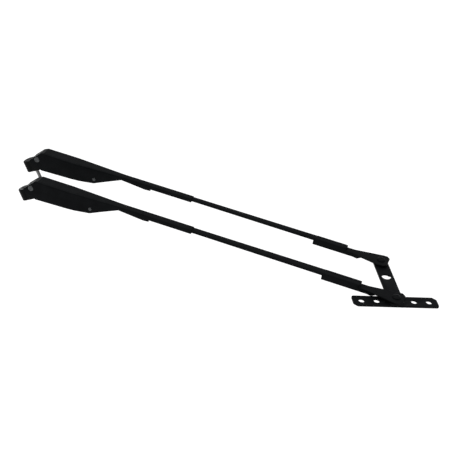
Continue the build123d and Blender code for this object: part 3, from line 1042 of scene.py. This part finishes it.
@dataclass
class TipLink:
    """The link plate between the tips, the blade bar under it and the pins that hold them together."""

    link_width: float = 18.0 * MM
    link_overhang: float = 9.0 * MM
    link_corner: float = 3.0 * MM
    keyhole_radius: float = 5.2 * MM
    keyhole_steps: int = 32
    keyhole_slot: float = 5.6 * MM
    keyhole_slot_reach: float = 6.4 * MM
    keyhole_slot_corner: float = 0.8 * MM
    keyhole_shift: float = 0.4 * MM
    keyhole_along: float = 44.6 * MM
    bar_width: float = 18.0 * MM
    bar_length: float = 101.5 * MM
    bar_chamfer: float = 4.5 * MM
    bar_corner: float = 2.8 * MM
    chamfer_easing: float = 1.2 * MM
    hole_pitch: float = 18.0 * MM
    inner_gap: float = 44.6 * MM
    blade_hole_radius: float = 3.6 * MM
    rivet_radius: float = 3.2 * MM
    pin_radius: float = 1.6 * MM
    pin_steps: int = 24
    pin_along: float = 6.5 * MM
    pin_across: float = 6.2 * MM
    roughness: float = 0.35
    bar_peel: float = 1.3 * MM

    def tips(self) -> tuple[Vector, Vector]:
        """The axes of the two tip joints.

        Returns:
            The main tip's place and the idler tip's.
        """
        places = {joint["name"]: Vector(joint["pos_m"]) for joint in frame["joints"]}
        return places["link_swing"], places["idler_swing"]

    def pin_holes(self) -> list[list[Point]]:
        """Outlines of the two bracket pins' holes."""
        places = ((self.pin_along, self.pin_across), (-self.pin_along, -self.pin_across))
        return [circle(place, self.pin_radius, self.pin_steps) for place in places]

    def keyhole(self) -> list[Point]:
        """Outline of the round hole with a slot on its outer side.

        Returns:
            Points in the plate's own plane.
        """
        half = self.keyhole_slot / 2
        foot = -self.keyhole_slot_reach
        soft = self.keyhole_slot_corner
        first = -acos(half / self.keyhole_radius)
        last = pi - first
        points = []
        for step in range(self.keyhole_steps + 1):
            turn = first + (last - first) * step / self.keyhole_steps
            points.append((self.keyhole_radius * cos(turn), self.keyhole_radius * sin(turn)))
        slot = eased([(-half, 0, 0), (-half, foot, soft), (half, foot, soft), (half, 0, 0)])
        points += slot[1:-1]
        return [(x + self.keyhole_along, y + self.keyhole_shift) for x, y in points]

    def build_link(self, origin: Vector, along: Vector, length: float) -> None:
        """Draw the link plate.

        Args:
            origin: the main tip.
            along: direction to the idler tip.
            length: distance to it.
        """
        half = self.link_width / 2
        rear = -self.link_overhang
        front = length + self.link_overhang
        outline = soft_box((rear, -half), (front, half), self.link_corner)
        holes = [circle(place, self.rivet_radius) for place in ((0, 0), (length, 0))]
        holes += [self.keyhole()] + self.pin_holes()
        paint = SatinPaint("link_black", roughness=self.roughness).make()
        plate = StampedPlate(
            "link_plate_stamped", "link_plate", Body.TIP_LINK, Slot.LINK_PAINT, origin, along
        )
        plate.build(outline, holes, paint)

    def build_bar(self, origin: Vector, along: Vector) -> None:
        """Draw the blade bar.

        Args:
            origin: the main tip.
            along: direction to the idler tip, square to the bar.
        """
        half = self.bar_width / 2
        end = self.bar_length / 2
        cut = self.bar_chamfer
        soft = self.chamfer_easing
        corners = [
            (-half, -end, self.bar_corner),
            (half - cut, -end, soft),
            (half, -end + cut, soft),
            (half, end, self.bar_corner),
            (-half + cut, end, soft),
            (-half, end - cut, soft),
        ]
        first = self.inner_gap / 2
        places = [side * (first + step * self.hole_pitch) for side in (1, -1) for step in range(2)]
        holes = [circle((0, place), self.blade_hole_radius) for place in places]
        holes += [circle((0, 0), self.rivet_radius)] + self.pin_holes()
        paint = SatinPaint("bar_black", roughness=self.roughness, peel_size=self.bar_peel).make()
        plate = StampedPlate(
            "blade_bar_stamped", "blade_bar", Body.TIP_LINK, Slot.BAR_PAINT, origin, along
        )
        plate.build(eased(corners, closed=True), holes, paint)

    def build(self) -> None:
        """Draw the two plates and finish the pins that join them."""
        main_tip, idler_tip = self.tips()
        along = (idler_tip - main_tip).normalized()
        self.build_link(main_tip, along, (idler_tip - main_tip).length)
        self.build_bar(main_tip, along)
        paint = SatinPaint("bracket_pin_black", worn=(0.05, 0.05, 0.052), rim=0.5 * MM).make()
        dress_node("bracket_pins", paint)


@dataclass
class Studio:
    """Pale seamless floor, even pale surroundings, a broad soft key light and an even light from above."""

    floor_reach: float = 40.0
    floor_squares: int = 8
    floor_drop: float = 300.0 * MM
    floor_colour: Colour = (0.94, 0.94, 0.94)
    floor_mottling: float = 1.02
    floor_mottle_size: float = 60 * MM
    floor_roughness: float = 0.9
    surroundings: float = 0.66
    overhead_strength: float = 1.25
    overhead_spread: float = 70.0
    key_power: float = 14.0
    key_size: float = 1.6
    key_offset: tuple[float, float, float] = (-0.9, -0.6, 1.9)

    def paper(self) -> bpy.types.Material:
        """Pale matt paper, a little uneven in tone.

        Returns:
            The floor's material.
        """
        tree = NodeTree("floor_paper")
        shade = tree.cloud(self.floor_mottle_size)
        paler = brighter(self.floor_colour, self.floor_mottling)
        return tree.finish(
            Base_Color=tree.blend(shade, self.floor_colour, paler),
            Roughness=self.floor_roughness,
        )

    def floor(self) -> bpy.types.Object:
        """Lay the floor well under the lowest piece, so that no hard shadow falls on it.

        Returns:
            The floor's object.
        """
        low, high = cad_box
        centre = ((low[0] + high[0]) / 2, (low[1] + high[1]) / 2, low[2] - self.floor_drop)
        mesh = bpy.data.meshes.new("studio_floor")
        shape = bmesh.new()
        bmesh.ops.create_grid(
            shape, x_segments=self.floor_squares, y_segments=self.floor_squares, size=self.floor_reach
        )
        bmesh.ops.translate(shape, verts=shape.verts, vec=centre)
        shape.to_mesh(mesh)
        shape.free()
        mesh.materials.append(self.paper())
        floor = linked("studio_floor", mesh)
        return floor

    def key(self) -> None:
        """Hang a broad square light above, to the front and left, facing the middle of the model."""
        target = (Vector(cad_box[0]) + Vector(cad_box[1])) / 2
        lamp = bpy.data.lights.new("key", "AREA")
        lamp.energy = self.key_power
        lamp.size = self.key_size
        holder = linked("key", lamp)
        holder.location = target + Vector(self.key_offset)
        holder.rotation_euler = (-Vector(self.key_offset)).to_track_quat("-Z", "Y").to_euler()

    def overhead(self) -> None:
        """Light the whole floor evenly from straight above."""
        lamp = bpy.data.lights.new("overhead", "SUN")
        lamp.energy = self.overhead_strength
        lamp.angle = radians(self.overhead_spread)
        linked("overhead", lamp)

    def build(self) -> None:
        """Set up the floor, the surroundings and the lights."""
        self.floor()
        world = bpy.data.worlds.new("pale_room")
        world.use_nodes = True
        background = world.node_tree.nodes["Background"]
        background.inputs["Color"].default_value = (1.0, 1.0, 1.0, 1.0)
        background.inputs["Strength"].default_value = self.surroundings
        bpy.context.scene.world = world
        bpy.context.scene.view_settings.view_transform = "Standard"
        self.key()
        self.overhead()
        log.info("studio is set")


@dataclass
class PhotoCamera:
    """The photograph's viewpoint: from the front, a little to the right and from above, slightly rolled."""

    place: Vector
    target: Vector
    roll: float
    focal: float
    sensor: float = 36.0
    nearest: float = 0.05
    farthest: float = 50.0

    def build(self) -> bpy.types.Object:
        """Create the camera and make it the scene's own.

        Returns:
            The camera's object.
        """
        lens = bpy.data.cameras.new("photo_camera")
        lens.sensor_width = self.sensor
        lens.lens = self.focal
        lens.clip_start = self.nearest
        lens.clip_end = self.farthest
        camera = linked("photo_camera", lens)
        level = (self.target - self.place).to_track_quat("-Z", "Y").to_matrix()
        turned = level @ Matrix.Rotation(radians(self.roll), 3, "Z")
        camera.matrix_world = Matrix.Translation(self.place) @ turned.to_4x4()
        bpy.context.scene.camera = camera
        log.info("camera is set")
        return camera


def main() -> None:
    """Build the camera, the studio and every sub-assembly, in order."""
    logging.basicConfig(level=logging.INFO, format="%(name)s: %(message)s")
    PhotoCamera(
        place=Vector((0.57917, -1.14056, 0.80694)),
        target=Vector((0.24903, 0.03610, 0.02425)),
        roll=9.1354,
        focal=94.945,
    ).build()
    Studio().build()
    WiperArm(
        Arm.MAIN,
        Body.MAIN_ARM,
        rod_rear=(7.7 * MM, 3.4 * MM),
        rod_front=(9.5 * MM, 4.3 * MM),
    ).build()
    WiperArm(
        Arm.IDLER,
        Body.IDLER_ARM,
        rod_rear=(6.4 * MM, 3.3 * MM),
        rod_front=(8.0 * MM, 4.0 * MM),
    ).build()
    SpindleParts().build()
    TipLink().build()


if __name__ == "__main__":
    main()
